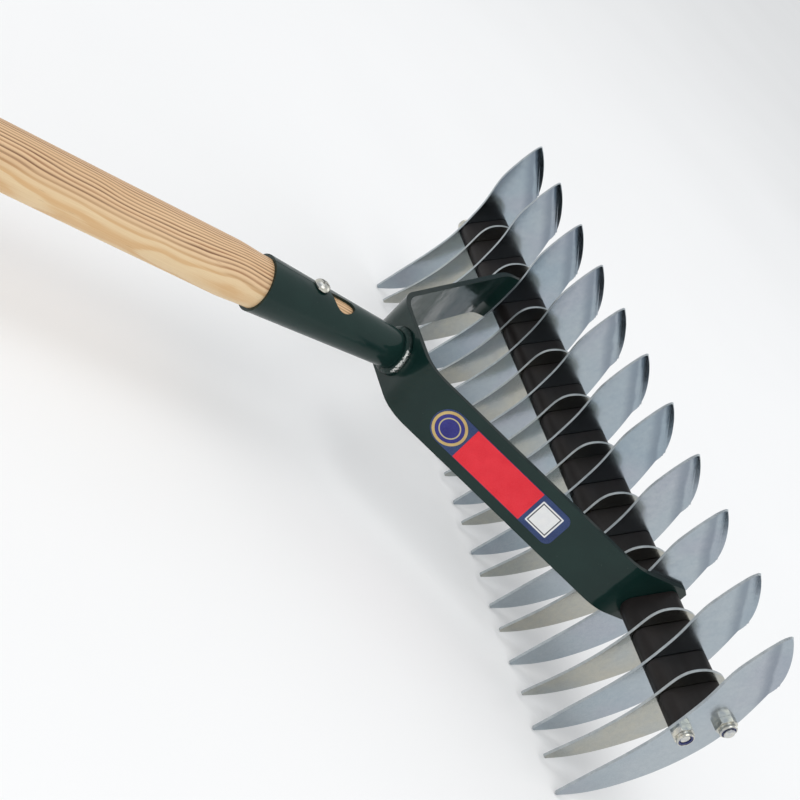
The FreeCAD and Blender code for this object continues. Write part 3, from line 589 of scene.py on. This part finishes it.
H0, TAPER_B, DOME = 165.0, 246.0, 9.5
seat = lambda b: cone_r(b) - SOCK_T - 0.06
rows = [(2.5, H0), (seat(H0) - 3.0, H0), (seat(H0) - 1.25, H0 + 0.05), (seat(H0) - 0.55, H0 + 0.5), (seat(H0 + 1.6), H0 + 1.6)]
rows += [(seat(b), b) for b in (175, 185, 195, 205, 215, 222, SOCK_TOP)]
for i in range(1, 13):
    t = i / 12
    rows.append((seat(SOCK_TOP) + (R_GRIP - 0.02 - seat(SOCK_TOP)) * hermite(t), SOCK_TOP + (TAPER_B - SOCK_TOP) * t))
b = TAPER_B + 10
while b < HANDLE_B1 - DOME - 5:
    rows.append((R_GRIP - 0.02, b))
    b += 12.0
for i in range(0, 17):
    t = math.radians(90 * i / 16)
    rows.append((R_GRIP - 0.02 - DOME + DOME * math.cos(t), HANDLE_B1 - DOME - 0.02 + DOME * math.sin(t)))
rows += [(2.6, HANDLE_B1 - 0.02)]


def turned(th, b):
    """The slight unevenness that sanding leaves on a turned stick, only ever inwards."""
    if b < SOCK_TOP + 1 or b > HANDLE_B1 - 3:
        return 0.0
    q = mnoise.noise(Vector((math.cos(th) * 0.9, math.sin(th) * 0.9, b * 0.012))) + 0.4 * mnoise.noise(Vector((math.cos(th) * 2.2, math.sin(th) * 2.2, b * 0.05)))
    return -0.045 * max(0.0, 1.0 + q) * min(1.0, (b - SOCK_TOP) / 8)


stick = lathe("turned_handle", rows, 96, PINE, turned)
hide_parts("handle")
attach(stick, "root")

# the weld between socket and bracket: an uneven hand-run bead with its ripples
WSEG, PSEG = 168, 12
wv, wf = [], []
for j in range(WSEG):
    th = 2 * math.pi * j / WSEG
    c, sn = math.cos(th), math.sin(th)
    slow = mnoise.noise(Vector((c * 1.3, sn * 1.3, 4.0)))
    mid = mnoise.noise(Vector((c * 4.0, sn * 4.0, 9.0)))
    foot = 2.75 + 0.55 * slow + 0.20 * mid
    high = 3.25 + 0.55 * mnoise.noise(Vector((c * 1.6, sn * 1.6, 14.0))) + 0.22 * mid
    step = (th * 26 / (2 * math.pi) + 0.25 * slow) % 1.0
    ripple = 0.20 * (1 - step) ** 0.7
    for i in range(PSEG + 1):
        t = math.radians(90 * i / PSEG)
        r0 = SOCK_R0 - 0.25
        hb = BR_TOP + 0.02 + high * math.sin(t) ** 0.92
        base = cone_r(hb) - 0.25
        rr = base + (foot + 0.25) * max(0.0, math.cos(t)) ** 0.85
        lump = (ripple + 0.12 * mnoise.noise(Vector((c * 11, sn * 11, hb * 0.8)))) * math.sin(2 * t)
        wv.append(W((rr + lump * 0.7) * c, (rr + lump * 0.7) * sn, hb + lump * 0.6))
n = PSEG + 1
for j in range(WSEG):
    j2 = (j + 1) % WSEG
    for i in range(PSEG):
        wf.append((j * n + i, j2 * n + i, j2 * n + i + 1, j * n + i + 1))
    wf.append((j * n + PSEG, j2 * n + PSEG, j2 * n, j * n))
bead = mesh_object("weld_bead", wv, wf, mat_paint("green_gloss_paint_weld", bare=True))
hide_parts("socket_weld")
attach(bead, "root")


# camera at the photograph's viewing angle, given in the head frame
def aim(vec):
    return A_AX * vec[0] + Y_AX * vec[1] + B_AX * vec[2]


CAM_C = (-318.70, 557.71, 598.01)
CAM_R = ((-0.64491, 0.23569, -0.72701), (0.63750, 0.69056, -0.34164), (0.42152, -0.68380, -0.59560))
cam = bpy.data.cameras.new("camera")
cam.lens = 70.97
cam.sensor_width = 36.0
cam.clip_start = 0.02
cam.clip_end = 50
co = bpy.data.objects.new("camera", cam)
bpy.context.scene.collection.objects.link(co)
x, yv, z = aim(CAM_R[0]), -aim(CAM_R[1]), -aim(CAM_R[2])
mw = Matrix.Identity(4)
for i in range(3):
    mw[i][0], mw[i][1], mw[i][2] = x[i], yv[i], z[i]
mw.translation = W(*CAM_C)
co.matrix_world = mw
bpy.context.scene.camera = co

# ------------------------------------------------------------------ floor and light
# The floor is one plain pale diffuse surface, the same for every ray.
fm = bpy.data.materials.new("pale_floor")
fm.use_nodes = True
fm.node_tree.nodes.clear()
k = NT(fm.node_tree)
out = k.new("ShaderNodeOutputMaterial")
bs = k.new("ShaderNodeBsdfDiffuse")
tc = k.new("ShaderNodeTexCoord")
n1 = k.noise(tc.outputs["Object"], 3.0, 3.0, 0.5)
k.put(bs.inputs["Color"], k.mix(k.maprange(n1, 0.3, 0.7, 0, 1), (0.90, 0.90, 0.90), (0.92, 0.92, 0.92)))
k.link(bs.outputs[0], out.inputs[0])
fme = bpy.data.meshes.new("floor")
fme.from_pydata([(-9, -9, 0), (9, -9, 0), (9, 9, 0), (-9, 9, 0)], [], [(0, 1, 2, 3)])
floor = bpy.data.objects.new("floor", fme)
floor.location = (0, 0, -0.0004)
bpy.context.scene.collection.objects.link(floor)
fme.materials.append(fm)

world = bpy.data.worlds.new("studio")
bpy.context.scene.world = world
world.use_nodes = True
wt = NT(world.node_tree)
world.node_tree.nodes.clear()
wo = wt.new("ShaderNodeOutputWorld")
bg = wt.new("ShaderNodeBackground")
bg.inputs[0].default_value = (0.97, 0.985, 1.0, 1.0)
bg.inputs[1].default_value = 0.80
wt.link(bg.outputs[0], wo.inputs[0])


def area(name, loc, target, size, power, col=(1, 1, 1), sy=None):
    l = bpy.data.lights.new(name, "AREA")
    l.energy = power
    l.color = col
    l.shape = "RECTANGLE"
    l.size = size
    l.size_y = sy or size
    o = bpy.data.objects.new(name, l)
    bpy.context.scene.collection.objects.link(o)
    o.location = loc
    d = Vector(target) - Vector(loc)
    o.rotation_euler = d.to_track_quat("-Z", "Y").to_euler()
    return o


HEAD = W(0, 0, 60)
area("key", HEAD + Vector((0.6, 1.3, 2.2)), HEAD + Vector((0.25, 0, 0)), 1.6, 12, (1.0, 0.99, 0.97))
area("top", HEAD + Vector((0.6, -0.5, 2.4)), HEAD + Vector((0.25, 0, 0)), 1.8, 9)
area("rim", HEAD + Vector((-1.5, 0.1, 0.9)), HEAD, 1.0, 2.5, (0.93, 0.96, 1.0))

bpy.context.scene.view_settings.view_transform = "Standard"
bpy.context.scene.view_settings.look = "None"
bpy.context.scene.view_settings.exposure = 0.0
